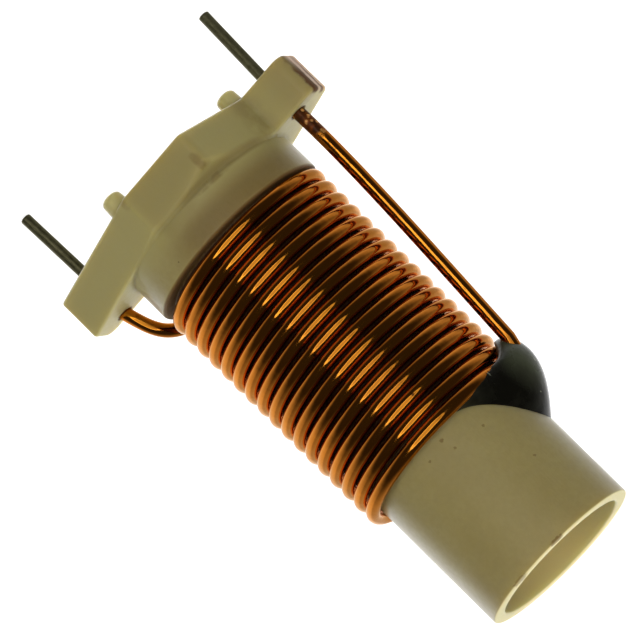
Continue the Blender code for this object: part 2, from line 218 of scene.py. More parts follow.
# Plastic: small marks, in millimetres
SURFACE_SPOTS = (
    # x, y, z, size
    (-1.63, -6.12, 28.7, 0.40), (-1.90, -6.04, 29.7, 0.30), (-0.06, -6.33, 29.1, 0.30),
    (-4.92, -3.99, 33.7, 0.35), (-4.09, -4.83, 29.9, 0.30), (-7.25, 1.37, 6.3, 0.30),
)
RIM_NICKS = (
    # x, y, span, strength
    (-2.25, -5.92, 1.1, 0.65), (1.55, -6.14, 1.6, 0.45),
)
END_LINES = (
    # depth, full within, gone beyond, strength
    (-0.40, 0.22, 0.50, 1.0), (0.80, 0.10, 0.30, 0.75),
)

# Plastic: heights between which the last turn gives way to the bare tube, in millimetres
WOUND_END = (26.8, 27.4)

# Wire: colours
COPPER_FACE_ON = (0.47, 0.172, 0.013, 1.0)
# The oblique copper is lighter than the face-on: a painted reflection towards the wire's outline
COPPER_OBLIQUE = (0.60, 0.19, 0.018, 1.0)
COPPER_TINT = (0.40, 0.13, 0.014, 1.0)
COPPER_GLOSS = (1.0, 0.86, 0.62, 1.0)
DUST_BROWN = tone(60, 30, 12)
TIN_DARK = tone(96, 93, 66)
TIN_PALE = tone(118, 114, 84)
CHAR_DARK = tone(70, 34, 10)
CHAR_BROWN = tone(124, 60, 14)
CHAR_BRIGHT_SPECKS = tone(255, 190, 110)

# Adhesive: colours
ADHESIVE_BLACK = tone(12, 11, 6)
ADHESIVE_GREY = tone(32, 32, 22)
# Painted highlight: grey on the adhesive's outer side
ADHESIVE_PAINTED_HIGHLIGHT = tone(78, 82, 62)
BUBBLE_GREY = tone(150, 150, 130)
SCRATCH_GREY = tone(150, 154, 130)
SCRATCH_TURN = (0.5, 0.3, 0.2)

# Camera: where it looks, how far off it stands, and the long lens
LOOK_AT = Vector((0.0, 0.0, 19.4)) * MM
CAMERA_AZIMUTH = math.radians(-105.212)
CAMERA_ELEVATION = math.radians(12.268)
CAMERA_ROLL = math.radians(134.49)
CAMERA_DISTANCE = 400.0 * MM
CAMERA_AIM = (2.699 * MM, -2.691 * MM)
LENS = 326.7
SENSOR_WIDTH = 36.0
NEAREST_SEEN = 0.01
FARTHEST_SEEN = 10.0

# Floor
FLOOR_HEIGHT = START_TIP[1]
FLOOR_RADIUS = 1.5
FLOOR_SIDES = 64
FLOOR_GREY = (0.55, 0.55, 0.55, 1.0)
FLOOR_GLOW = 0.80

# Light: the lamp, the ring about the camera, and a soft fill on the camera's side
OVERHEAD_SIZE = 400.0 * MM
OVERHEAD_HEIGHT = 450.0 * MM
OVERHEAD_LEVEL = 0.74
RING_OUTSIDE = math.radians(26.5)
RING_INSIDE = math.radians(20.0)
RING_ASIDE = math.radians(3.0)
RING_LEVEL = 3.2
RING_MIDDLE_LEVEL = 1.1
RING_OUTER_SOFTNESS = 0.01
RING_INNER_SOFTNESS = 0.02
FILL_LEVEL = 0.42
FILL_ANGLES = (math.radians(45.0), math.radians(65.0))

# Light behind the object, as matt surfaces receive it
SIDES_LEVEL = 0.12
WALL_LEVEL = 4.6
WALL_ANGLES = (math.radians(35.0), math.radians(48.0))
WINGS_LEVEL = 0.78
WINGS_ANGLES = (math.radians(66.0), math.radians(88.0))

# Light behind the object, as gloss mirrors it, with the directions in which it is weaker
MIRRORED_SIDES_LEVEL = 0.04
MIRRORED_WALL_LEVEL = 1.15
MIRRORED_WALL_ANGLES = (math.radians(41.0), math.radians(110.0))
DIM_SIDE = Vector((-0.533, 0.820, -0.208))
DIM_SIDE_ANGLES = (math.radians(12.0), math.radians(30.0))
DIM_SIDE_LOSS = 0.55
UPWARDS = Vector((0.0, 0.0, 1.0))
UPWARDS_COSINES = (0.0, 0.25)
UPWARDS_LOSS = 0.45
FADING_SIDE = Vector((-0.966, 0.259, 0.0))
FADING_COSINES = (0.05, 0.35)
FADING_LOSS = 0.6


# ---------------------------------------------------------------- node writing

class Field:
    """A node's output that can stand in a sum, a difference or a product."""

    def __init__(self, sheet, socket):
        self.sheet = sheet
        self.socket = socket

    def __add__(self, other):
        return self.sheet.maths('ADD', self, other)

    def __radd__(self, other):
        return self.sheet.maths('ADD', other, self)

    def __sub__(self, other):
        return self.sheet.maths('SUBTRACT', self, other)

    def __rsub__(self, other):
        return self.sheet.maths('SUBTRACT', other, self)

    def __mul__(self, other):
        return self.sheet.maths('MULTIPLY', self, other)

    def __rmul__(self, other):
        return self.sheet.maths('MULTIPLY', other, self)


class Sheet:
    """Writes nodes into one tree."""

    def __init__(self, tree):
        self.tree = tree

    def feed(self, node, values):
        """Links fields to a node's inputs and sets its other inputs to plain values."""
        for name, value in values.items():
            if isinstance(value, Field):
                self.tree.links.new(value.socket, node.inputs[name])
            else:
                node.inputs[name].default_value = value

    def node(self, kind, settings=None, values=None):
        made = self.tree.nodes.new(kind)
        for name, setting in (settings or {}).items():
            setattr(made, name, setting)
        self.feed(made, values or {})
        return made

    def field(self, kind, settings=None, values=None, output=0):
        return Field(self, self.node(kind, settings, values).outputs[output])

    def maths(self, operation, first, second=0.0):
        return self.field('ShaderNodeMath', {"operation": operation}, {0: first, 1: second})

    def size(self, value):
        return self.maths('ABSOLUTE', value)

    def largest(self, first, *others):
        for other in others:
            first = self.maths('MAXIMUM', first, other)
        return first

    def rise(self, value, low, high):
        """0 below low, 1 above high, and a soft step between."""
        return self.field('ShaderNodeMapRange', {"interpolation_type": 'SMOOTHSTEP'},
                          {"Value": value, "From Min": low, "From Max": high})

    def fall(self, value, low, high):
        return 1.0 - self.rise(value, low, high)

    def above(self, value, low, high):
        """A rise between two measures in millimetres."""
        return self.rise(value, low * MM, high * MM)

    def below(self, value, low, high):
        """A fall between two measures in millimetres."""
        return self.fall(value, low * MM, high * MM)

    def blend(self, share, first, second):
        """A colour between two others."""
        return self.field('ShaderNodeMix', {"data_type": 'RGBA'},
                          {0: share, 6: first, 7: second}, 2)

    def layered(self, colour, layers):
        """A colour with others laid over it, each on its share of the surface."""
        for share, over in layers:
            colour = self.blend(share, colour, over)
        return colour

    def vector_maths(self, operation, first, second, output=0):
        return self.field('ShaderNodeVectorMath', {"operation": operation},
                          {0: first, 1: second}, output)

    def distance(self, place, point):
        return self.vector_maths('DISTANCE', place, point, "Value")

    def along(self, place, direction):
        return self.vector_maths('DOT_PRODUCT', place, tuple(direction), "Value")

    def patch(self, place, spot, full, gone):
        """1 near a spot, 0 away from it; the spot and both distances are in millimetres."""
        return self.below(self.distance(place, in_millimetres(*spot)), full, gone)

    def noise(self, place, per_metre, detail=3.0, roughness=0.5):
        return self.field('ShaderNodeTexNoise', None,
                          {"Vector": place, "Scale": per_metre, "Detail": detail,
                           "Roughness": roughness})

    def stretched(self, place, scales, turned=(0.0, 0.0, 0.0)):
        return self.field('ShaderNodeMapping', None,
                          {"Vector": place, "Rotation": turned, "Scale": scales})

    def specks(self, place, per_metre, size, share):
        """Small round spots, on a share of the cells of a loose grid."""
        cells = self.node('ShaderNodeTexVoronoi', None, {"Vector": place, "Scale": per_metre})
        near = self.fall(Field(self, cells.outputs["Distance"]), size * 0.5, size)
        parts = self.node('ShaderNodeSeparateColor', None,
                          {"Color": Field(self, cells.outputs["Color"])})
        chosen = self.maths('LESS_THAN', Field(self, parts.outputs[0]), share)
        return near * chosen

    def facing(self):
        """0 where the surface faces the eye and 1 at its outline."""
        return self.field('ShaderNodeLayerWeight', None, {"Blend": 0.5}, "Facing")

    def bump(self, height, depth, normal=None):
        values = {"Height": height, "Strength": 1.0, "Distance": depth}
        if normal is not None:
            values["Normal"] = normal
        return self.field('ShaderNodeBump', None, values)


# ---------------------------------------------------------------- finishes

def in_millimetres(x, y, z=0.0):
    return (x * MM, y * MM, z * MM)


def start_finish(name):
    """A new material, a sheet to write on, its shader and the place of each of its points."""
    material = bpy.data.materials.new(name)
    material.use_nodes = True
    sheet = Sheet(material.node_tree)
    shader = sheet.tree.nodes["Principled BSDF"]
    place = sheet.field('ShaderNodeTexCoord', None, None, "Object")
    return material, sheet, shader, place


def measures(sheet, place):
    """How far along each of the three axes a place lies."""
    parts = sheet.node('ShaderNodeSeparateXYZ', None, {0: place})
    return [Field(sheet, parts.outputs[axis]) for axis in "XYZ"]


def lay_over(sheet, share, under, over):
    """Shows one shader over another on its share of the surface."""
    both = sheet.field('ShaderNodeMixShader', None,
                       {0: share, 1: Field(sheet, under.outputs[0]),
                        2: Field(sheet, over.outputs[0])})
    sheet.feed(sheet.tree.nodes["Material Output"], {"Surface": both})


class Whereabouts:
    """Where each point of the moulding lies."""

    def __init__(self, sheet, place):
        self.place = place
        self.side, self.depth, self.height = measures(sheet, place)
        self.plan = sheet.stretched(place, (1.0, 1.0, 0.0))
        self.around = sheet.field('ShaderNodeVectorMath', {"operation": 'LENGTH'},
                                  {0: self.plan}, "Value")


def soft_shade(sheet, at, spot, spread, coming, going, strength):
    """One row of SMALL_SHADES or WIDE_SHADES."""
    shade = sheet.patch(at.plan, spot, *spread)
    if coming:
        shade = shade * sheet.above(at.height, *coming)
    if going:
        shade = shade * sheet.below(at.height, *going)
    return shade * strength


def moulding_shades(sheet, at):
    """Painted brownish shade in the base's folds and where the collar nears the coil, 0 to 1."""
    ragged = sheet.rise(sheet.noise(at.place, 900.0), 0.25, 0.6)
    above_feet = sheet.above(at.height, 1.1, 1.3)
    ledge = sheet.patch(at.place, LEDGE_SPOT, 0.8, 2.2) * sheet.below(at.height, 4.95, 5.25)
    ledge = ledge * sheet.below(sheet.size(at.around - LEDGE_RADIUS), 0.05, 0.20)
    small = [soft_shade(sheet, at, *row) for row in SMALL_SHADES]
    folds = sheet.largest(ledge, *small) * ragged
    front = sheet.below(at.depth, -7.3, -6.9) * sheet.below(at.side, 0.8, 2.0)
    front = front * sheet.above(at.side, -5.0, -4.2)
    wide = [soft_shade(sheet, at, *row) for row in WIDE_SHADES]
    return sheet.largest(sheet.largest(folds, front * FRONT_SHADE) * above_feet, *wide)


def rim_nicks(sheet, at, ragged):
    at_rim = sheet.rise(at.height, RIM_HEIGHT - 0.42 * MM, RIM_HEIGHT - 0.12 * MM)
    nicks = []
    for x, y, span, strength in RIM_NICKS:
        stretch = sheet.patch(at.plan, (x, y), 0.2, span)
        nicks.append(sheet.rise(stretch * at_rim + ragged * 1.2, 1.20, 1.50) * strength)
    return nicks


def darkened_hole_edges(sheet, at, ragged):
    """The edges of the two lead holes, on the block's top."""
    shifted = (ragged - 0.5) * (0.12 * MM)
    holes = []
    for end in (1.0, -1.0):
        hole = sheet.distance(at.plan, (end * LEAD_X, 0.0, 0.0)) + shifted
        darkened = sheet.below(hole, 0.60, 0.74) * sheet.above(at.height, 4.3, 4.6)
        holes.append(darkened * 0.8)
    return holes


def ear_end_lines(sheet, at):
    """Wavering lines on the -X ear's end, weaker low down."""
    waver = (sheet.noise(at.place, 1300.0) - 0.5) * (0.7 * MM)
    lines = [sheet.below(sheet.size(at.depth + waver - depth * MM), full, gone) * strength
             for depth, full, gone, strength in END_LINES]
    on_end = sheet.below(at.side, -11.60, -11.25)
    low = 1.0 - 0.5 * sheet.below(at.height, 1.8, 3.2)
    return on_end * low * sheet.largest(*lines)


def small_marks(sheet, at):
    """Specks, ragged nicks in the rim, darker hole edges and an ear's stained end, 0 to 1."""
    ragged = sheet.noise(at.place, 5200.0, 3.0, 0.7)
    spots = []
    for x, y, z, size in SURFACE_SPOTS:
        close = sheet.patch(at.place, (x, y, z), 0.0, size)
        spots.append(sheet.rise(close + ragged, 1.12, 1.34) * 0.45)
    return sheet.largest(ear_end_lines(sheet, at), *spots, *rim_nicks(sheet, at, ragged),
                         *darkened_hole_edges(sheet, at, ragged))


def ivory_plastic():
    """Moulded ivory plastic: faint clouds, mottling, specks, a stained, pinkish end on the -X ear;
    painted shade in the folds, on the -X ear and under the coil; painted light in the bore, on the
    tops and on the rim.
    """
    material, sheet, shader, place = start_finish("ivory_plastic")
    at = Whereabouts(sheet, place)
    side, depth, height, around = at.side, at.depth, at.height, at.around

    in_bore = sheet.below(around, 5.40, 5.60)
    top_face = sheet.rise(height, BASE_TOP - 0.16 * MM, BASE_TOP - 0.03 * MM) * sheet.fall(
        height, BASE_TOP + 0.15 * MM, BASE_TOP + 0.25 * MM)
    top_face = top_face * sheet.rise(around, COLLAR_RADIUS - 0.05 * MM,
                                     COLLAR_RADIUS + 0.05 * MM)
    near_end = sheet.below(side, -11.2, -7.4) * sheet.below(depth, -0.2, 0.3)
    end_tint = sheet.below(side, -11.7, -11.5) * sheet.above(depth, -0.5, 0.0)
    rim_face = sheet.rise(height, RIM_HEIGHT - 0.10 * MM, RIM_HEIGHT - 0.03 * MM)
    below_wound_end = sheet.below(height, *WOUND_END) * (1.0 - in_bore)
    # painted shade from the collar's top edge up the tube under the coil
    wound = below_wound_end * sheet.rise(
        height, COLLAR_TOP - 0.22 * MM, COLLAR_TOP - 0.04 * MM)
    # painted shade on the tube between and under the turns
    under_coil = below_wound_end * sheet.rise(
        height, COLLAR_TOP + 0.02 * MM, COLLAR_TOP + 0.18 * MM)
    marks = small_marks(sheet, at)

    clouds = sheet.rise(sheet.noise(place, 170.0), 0.35, 0.65)
    mottling = sheet.rise(sheet.noise(place, 2400.0, 4.0, 0.6), 0.3, 0.7)
    colour = sheet.layered(sheet.blend(clouds, IVORY, IVORY_CLOUDED), (
        (mottling * 0.35, IVORY_MOTTLED),
        (sheet.fall(height, BASE_TOP - 0.3 * MM, COLLAR_TOP - 0.6 * MM), IVORY_BASE),
        (sheet.below(height, 1.0, 1.3), IVORY_FEET),
        # painted light inside the bore
        (in_bore, BORE_PAINTED_LIGHT),
        (sheet.specks(place, 520.0, 0.045, 0.30) * 0.6, SPECK_BROWN),
        # painted light on the block's top faces
        (top_face * sheet.rise(around, COLLAR_RADIUS, COLLAR_RADIUS + 0.4 * MM),
         TOP_FACE_PAINTED_LIGHT),
        (moulding_shades(sheet, at) * 0.55, SHADE_BROWN),
        # painted shade on the -X ear's near side
        (near_end * 0.32, EAR_PAINTED_SHADE),
        (end_tint * 0.7, EAR_END_PINK),
        # painted highlight on the rim's top face
        (rim_face, RIM_PAINTED_HIGHLIGHT),
        # painted shade at the collar's edge and under the coil
        (wound * 0.7, WOUND_PAINTED_SHADE),
    ))

    waves = sheet.noise(sheet.stretched(place, (1.0, 1.0, 0.25)), 420.0, 2.0)
    scratches = sheet.noise(sheet.stretched(place, (1.0, 14.0, 1.0), (0.0, 0.0, 0.5)),
                            500.0, 2.0)
    grain = sheet.noise(place, 5200.0, 4.0, 0.65)
    normal = sheet.bump(scratches, 0.010 * MM, sheet.bump(waves, 0.03 * MM))
    normal = sheet.bump(grain, 0.012 * MM, normal)
    normal = sheet.bump(1.0 - marks, 0.05 * MM, normal)

    bare = sheet.largest(rim_face, end_tint, top_face * 0.85, wound)
    sheet.feed(shader, {
        "Base Color": colour, "Roughness": 0.40 + 0.14 * mottling, "Normal": normal,
        "IOR": 1.4, "Specular IOR Level": 0.3,
        "Subsurface Weight": 0.8, "Subsurface Scale": 2.0 * MM,
        "Subsurface Radius": (1.0, 0.85, 0.5),
        "Coat Weight": sheet.rise(sheet.facing(), 0.3, 0.7) * (1.0 - bare),
        "Coat Roughness": 0.3, "Coat IOR": 1.45,
    })
    # A rough brown layer for the small marks, and for the painted shade under the coil and on the
    # collar's top edge
    darkened = sheet.node('ShaderNodeBsdfPrincipled', None, {
        "Base Color": sheet.blend(under_coil, MARK_BROWN, UNDER_COIL_PAINTED_SHADE),
        "Roughness": 0.6, "Normal": normal, "Specular IOR Level": 0.1,
    })
    lay_over(sheet, sheet.largest(marks, under_coil * 0.9, wound * 0.6), shader, darkened)
    return material


def copper_enamel():
    """Amber enamel over copper, dull tin on the stripped leads, burnt enamel by the -X ear."""
    material, sheet, shader, place = start_finish("copper_enamel")
    side, _, height = measures(sheet, place)
    # painted reflection: the copper is lighter and more orange away from face-on
    oblique = sheet.rise(sheet.facing(), 0.03, 0.14)
    tint = sheet.rise(sheet.noise(place, 260.0), 0.35, 0.65)
    char = sheet.blend(sheet.rise(sheet.noise(place, 1800.0), 0.4, 0.65), CHAR_DARK, CHAR_BROWN)
    # bright orange specks in the burnt stretch
    char = sheet.blend(sheet.specks(place, 2600.0, 0.5, 0.45), char, CHAR_BRIGHT_SPECKS)
    ragged = height + (sheet.noise(place, 1500.0) - 0.5) * (1.2 * MM)
    burnt = sheet.below(side, -8.0, -7.9) * sheet.below(ragged, 6.8, 7.4)
    tinned = sheet.fall(height, TINNING_END - 0.1 * MM, TINNING_END + 0.2 * MM)

    colour = sheet.layered(sheet.blend(oblique, COPPER_FACE_ON, COPPER_OBLIQUE), (
        (tint * 0.45, COPPER_TINT),
        (sheet.specks(place, 700.0, 0.12, 0.10) * 0.8, DUST_BROWN),
        (burnt, char),
    ))
    ripple = sheet.noise(place, 750.0, 2.0)
    roughening = sheet.noise(place, 5000.0, 4.0, 0.7)
    normal = sheet.bump(roughening * sheet.largest(burnt, tinned * 0.15), 0.05 * MM,
                        sheet.bump(ripple, 0.030 * MM))
    sheet.feed(shader, {
        "Base Color": colour, "Metallic": 1.0 - 0.30 * burnt,
        "Roughness": 0.09 + 0.04 * tint + 0.26 * burnt, "Normal": normal,
        "Specular Tint": COPPER_GLOSS,
        "Coat Weight": 0.07 + 0.05 * burnt, "Coat Roughness": 0.12, "Coat IOR": 1.5,
    })
    tin_grain = sheet.rise(sheet.noise(place, 3000.0, 4.0, 0.6), 0.3, 0.7)
    tin = sheet.node('ShaderNodeBsdfPrincipled', None, {
        "Base Color": sheet.blend(tin_grain, TIN_DARK, TIN_PALE),
        "Metallic": 1.0, "Roughness": 0.42 + 0.10 * tin_grain, "Normal": normal,
    })
    lay_over(sheet, tinned, shader, tin)
    return material


def black_adhesive():
    """Cured black adhesive: satin, with a painted grey highlight on its outer side, thin scratches
    and tiny bubbles.
    """
    material, sheet, shader, place = start_finish("black_adhesive")
    side, _, _ = measures(sheet, place)
    clouds = sheet.rise(sheet.noise(place, 520.0), 0.35, 0.7)
    thin = sheet.stretched(place, (1.0, 0.45, 0.12), SCRATCH_TURN)
    colour = sheet.layered(sheet.blend(clouds, ADHESIVE_BLACK, ADHESIVE_GREY), (
        # painted grey highlight on the adhesive's outer side
        (sheet.below(side + clouds * (0.5 * MM), -8.7, -6.9) * 0.8, ADHESIVE_PAINTED_HIGHLIGHT),
        (sheet.specks(place, 900.0, 0.16, 0.06), BUBBLE_GREY),
        (sheet.specks(thin, 2600.0, 0.14, 0.35) * 0.5, SCRATCH_GREY),
    ))
    scratches = sheet.noise(sheet.stretched(place, (1.0, 1.0, 9.0), SCRATCH_TURN), 700.0)
    ripple = sheet.noise(place, 1300.0)
    normal = sheet.bump(scratches, 0.015 * MM, sheet.bump(ripple, 0.05 * MM))
    sheet.feed(shader, {
        "Base Color": colour, "Roughness": 0.26 + 0.16 * clouds, "Normal": normal,
        "IOR": 1.4, "Specular IOR Level": 0.25,
        "Coat Weight": sheet.rise(sheet.facing(), 0.2, 0.8),
        "Coat Roughness": 0.25, "Coat IOR": 1.6,
    })
    return material


# ---------------------------------------------------------------- shapes

def add_object(name, data):
    thing = bpy.data.objects.new(name, data)
    bpy.context.scene.collection.objects.link(thing)
    return thing


def object_from(shape, name):
    mesh = bpy.data.meshes.new(name)
    shape.to_mesh(mesh)
    shape.free()
    return add_object(name, mesh)


def settle(thing):
    """Turns the result of an object's modifiers into its own plain mesh."""
    graph = bpy.context.evaluated_depsgraph_get()
    mesh = bpy.data.meshes.new_from_object(thing.evaluated_get(graph))
    thing.modifiers.clear()
    thing.data = mesh
    mesh.name = thing.name
    return thing


def combine(target, tool, operation):
    step = target.modifiers.new(f"{operation.lower()}_{tool.name}", 'BOOLEAN')
    step.operation = operation
    step.solver = 'EXACT'
    step.object = tool
    settle(target)
    bpy.data.objects.remove(tool, do_unlink=True)


def loft(rings):
    """A closed skin over rings of points, each ring with the same count."""
    shape = bmesh.new()
    grid = [[shape.verts.new(point) for point in ring] for ring in rings]
    count = len(grid[0])
    for lower, upper in zip(grid, grid[1:]):
        for index in range(count):
            after = (index + 1) % count
            shape.faces.new((lower[index], lower[after], upper[after], upper[index]))
    shape.faces.new(list(reversed(grid[0])))
    shape.faces.new(grid[-1])
    bmesh.ops.recalc_face_normals(shape, faces=shape.faces)
    return shape


def turned(name, profile, centre=(0.0, 0.0), sides=TUBE_SIDES):
    """Turns (radius, height) points, from the bottom to the top, about a vertical axis."""
    rings = []
    for radius, height in profile:
        ring = []
        for index in range(sides):
            turn = FULL_TURN * index / sides
            ring.append((centre[0] + radius * math.cos(turn),
                         centre[1] + radius * math.sin(turn), height))
        rings.append(ring)
    return object_from(loft(rings), name)


def quarter_round(centre, radius, start, end, steps=5):
    """Points of an arc in a (radius, height) section, angles from outwards towards upwards."""
    points = []
    for step in range(steps + 1):
        angle = math.radians(start + (end - start) * step / steps)
        points.append((centre[0] + radius * math.cos(angle), centre[1] + radius * math.sin(angle)))
    return points


def rounded_corner(before, corner, after, radius, steps=8):
    """Points of an arc that rounds one corner of a flat outline."""
    to_before = (before - corner).normalized()
    to_after = (after - corner).normalized()
    half_angle = to_before.angle(to_after) / 2.0
    cut = radius / math.tan(half_angle)
    centre = corner + (to_before + to_after).normalized() * (radius / math.sin(half_angle))
    first = corner + to_before * cut - centre
    last = corner + to_after * cut - centre
    sweep = first.angle(last)
    points = []
    for step in range(steps + 1):
        share = step / steps
        arc = first * math.sin((1.0 - share) * sweep) + last * math.sin(share * sweep)
        points.append(centre + arc / math.sin(sweep))
    return points


def ear_root(inset):
    """Where the -X ear's straight side meets the back slope, in plan."""
    side = SIDE_DISTANCE - inset
    inner = EAR_INNER_SIDE - inset
    return Vector((-(side - math.cos(BACK_SLOPE) * inner) / math.sin(BACK_SLOPE), -inner))


def base_outline(inset):
    """The base's plan, pulled in by this much, anticlockwise."""
    side = SIDE_DISTANCE - inset
    front = -(FRONT_DISTANCE - inset)
    reach = EAR_REACH - inset
    slant_x = (side + math.cos(EAR_SLANT) * front) / math.sin(EAR_SLANT)
    tip_y = (math.sin(EAR_SLANT) * reach - side) / math.cos(EAR_SLANT)
    slope_x = -(side + math.cos(BACK_SLOPE) * front) / math.sin(BACK_SLOPE)
    half = [
        (Vector((reach, tip_y)), EAR_TIP_CORNER - inset),
        (Vector((slant_x, front)), SLANT_CORNER - inset),
        (Vector((slope_x, front)), SLOPE_CORNER - inset),
        (ear_root(inset), EAR_ROOT_FILLET + inset),
        (Vector((-reach, -(EAR_INNER_SIDE - inset))), EAR_OUTER_CORNER - inset),
    ]
    corners = half + [(-place, radius) for place, radius in half]
    points = []
    for index, (corner, radius) in enumerate(corners):
        before = corners[index - 1][0]
        after = corners[(index + 1) % len(corners)][0]
        points.extend(rounded_corner(before, corner, after, radius))
    return list(reversed(points))


def spaced_outlines(insets):
    """The plan at each inset, with extra points on its long straights, the same count in each."""
    plans = [base_outline(inset) for inset in insets]
    spaced = [[] for _ in plans]
    count = len(plans[0])
    for index in range(count):
        after = (index + 1) % count
        span = (plans[0][after] - plans[0][index]).length
        pieces = max(1, round(span / OUTLINE_STEP))
        for plan, points in zip(plans, spaced):
            for piece in range(pieces):
                points.append(plan[index].lerp(plan[after], piece / pieces))
    return spaced


def soft_step(value, low, high):
    share = min(max((value - low) / (high - low), 0.0), 1.0)
    return share * share * (3.0 - 2.0 * share)


def block_top(point):
    """Height of the block's top: flat on the ears, falling away outside the collar elsewhere."""
    root = ear_root(0.0)
    first = math.degrees(math.atan2(-root.y, -root.x))
    last = 90.0 + math.degrees(EAR_SLANT)
    around = math.degrees(math.atan2(point.y, point.x)) % 180.0
    sloping = soft_step(around, *(first + degrees for degrees in TOP_SLOPE_BEGINS))
    sloping *= 1.0 - soft_step(around, *(last + degrees for degrees in TOP_SLOPE_STOPS))
    beyond = point.length - COLLAR_RADIUS
    near = min(max(COLLAR_FOOT_WIDTH - beyond / COLLAR_FOOT_FILLET, 0.0), COLLAR_FOOT_STEEPEST)
    fillet = COLLAR_FOOT_FILLET * (1.0 - math.sqrt(1.0 - near * near))
    return BASE_TOP - math.tan(TOP_SLOPE) * max(beyond, 0.0) * sloping + fillet


def base_block():
    """The block and its ears: rounded edges, a top that slopes and a fillet round the collar."""
    insets, drops = [], []
    for step in range(BLOCK_EDGE_STEPS):
        angle = QUARTER_TURN * step / (BLOCK_EDGE_STEPS - 1)
        insets.append(BLOCK_EDGE * (1.0 - math.sin(angle)))
        drops.append(BLOCK_EDGE * (1.0 - math.cos(angle)))
    plans = spaced_outlines(insets)
    rings = []
    for plan, drop in zip(plans, drops):
        rings.append([(point.x, point.y, BASE_BOTTOM + drop) for point in plan])
    low = BASE_BOTTOM + BLOCK_EDGE
    for share in BLOCK_SIDE_SHARES:
        rings.append([(point.x, point.y, low + (block_top(point) - BLOCK_EDGE - low) * share)
                      for point in plans[-1]])
    for plan, drop in zip(reversed(plans), reversed(drops)):
        rings.append([(point.x, point.y, block_top(point) - drop) for point in plan])
    for step in range(1, TOP_RINGS + 1):
        share = (step / TOP_RINGS) ** TOP_CROWDING
        ring = []
        for point in plans[0]:
            place = point.lerp(point.normalized() * TOP_INNER_RADIUS, share)
            ring.append((place.x, place.y, block_top(place)))
        rings.append(ring)
    return object_from(loft(rings), "base_block")


def standoff(name, place):
    """A short drafted stud with a domed foot."""
    foot = STANDOFF_FOOT_RADIUS
    profile = [(0.1 * foot, 0.0), (foot - STANDOFF_EDGE, 0.0)]
    profile += quarter_round((foot - STANDOFF_EDGE, STANDOFF_EDGE), STANDOFF_EDGE, -80.0, 0.0, 8)
    profile.append((STANDOFF_ROOT_RADIUS, BASE_BOTTOM + STANDOFF_SINK))
    return turned(name, profile, place, STANDOFF_SIDES)


def body_profile():
    """Outside of the collar and tube as (radius, height), from inside the base to the rim."""
    bottom = BASE_BOTTOM + COLLAR_SINK
    top = COLLAR_TOP - COLLAR_EDGE
    profile = [(COLLAR_RADIUS, bottom + (top - bottom) * step / COLLAR_RINGS)
               for step in range(COLLAR_RINGS)]
    profile += quarter_round((COLLAR_RADIUS - COLLAR_EDGE, top), COLLAR_EDGE, 0.0, 90.0, 6)
    fillet = TUBE_FOOT_FILLET
    profile += list(reversed(quarter_round((TUBE_RADIUS + fillet, COLLAR_TOP + fillet), fillet,
                                           180.0, 270.0, 4)))
    for step in range(1, TUBE_RINGS):
        share = step / TUBE_RINGS
        profile.append((TUBE_RADIUS, COLLAR_TOP + (RIM_HEIGHT - COLLAR_TOP) * share))
    profile += quarter_round((TUBE_RADIUS - RIM_EDGE, RIM_HEIGHT - RIM_EDGE), RIM_EDGE,
                             0.0, 90.0, 6)
    return profile


def bore_cutter():
    """The space inside the tube, with rounded mouths at both ends."""
    edge = BORE_EDGE
    profile = [(BORE_RADIUS_BASE + edge, BASE_BOTTOM - HOLE_OVERRUN)]
    profile += quarter_round((BORE_RADIUS_BASE + edge, BASE_BOTTOM + edge), edge, 270.0, 180.0)
    for step in range(1, TUBE_RINGS):
        share = step / TUBE_RINGS
        profile.append((BORE_RADIUS_BASE + (BORE_RADIUS_RIM - BORE_RADIUS_BASE) * share,
                        BASE_BOTTOM + (RIM_HEIGHT - BASE_BOTTOM) * share))
    profile += quarter_round((BORE_RADIUS_RIM + edge, RIM_HEIGHT - edge), edge, 180.0, 90.0)
    profile.append((BORE_RADIUS_RIM + edge, RIM_HEIGHT + HOLE_OVERRUN))
    return turned("bore", profile)


def lead_hole(name, side):
    """The space of one lead's hole, with rounded mouths."""
    edge = LEAD_HOLE_EDGE
    mouth = LEAD_HOLE_RADIUS + edge
    profile = [(mouth, BASE_BOTTOM - HOLE_OVERRUN)]
    profile += quarter_round((mouth, BASE_BOTTOM + edge), edge, 270.0, 180.0, 3)
    profile += quarter_round((mouth, BASE_TOP - edge), edge, 180.0, 90.0, 3)
    profile.append((mouth, BASE_TOP + HOLE_OVERRUN))
    return turned(name, profile, (side * LEAD_X, 0.0), STANDOFF_SIDES)


def smooth_with_flats(thing):
    """Smooth shading that keeps the flats flat beside their rounded edges."""
    thing.data.shade_smooth()
    thing.data.set_sharp_from_angle(angle=FLAT_ANGLE)
    steady = thing.modifiers.new("flats", 'WEIGHTED_NORMAL')
    steady.weight = 100
    steady.keep_sharp = True
    settle(thing)


def build_former(finish):
    former = turned("moulded_former", body_profile())
    combine(former, base_block(), 'UNION')
    places = [Vector(place) for place in STANDOFF_PLACES]
    for index, place in enumerate(places + [-place for place in places]):
        combine(former, standoff(f"standoff_{index + 1}", place), 'UNION')
    combine(former, bore_cutter(), 'DIFFERENCE')
    combine(former, lead_hole("start_hole", 1.0), 'DIFFERENCE')
    combine(former, lead_hole("end_hole", -1.0), 'DIFFERENCE')
    smooth_with_flats(former)
    former.data.materials.clear()
    former.data.materials.append(finish)
    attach(former, "root")
    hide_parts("former")
    return former


# ---------------------------------------------------------------- wire

def coil_height(turn):
    return max(FIRST_TURN_HEIGHT, COIL_HEIGHT_AT_ZERO + COIL_PITCH * turn / FULL_TURN)


def coil_point(turn):
    return Vector((COIL_RADIUS * math.cos(turn), COIL_RADIUS * math.sin(turn), coil_height(turn)))


def coil_direction(turn):
    return Vector((-math.sin(turn), math.cos(turn), 0.0))


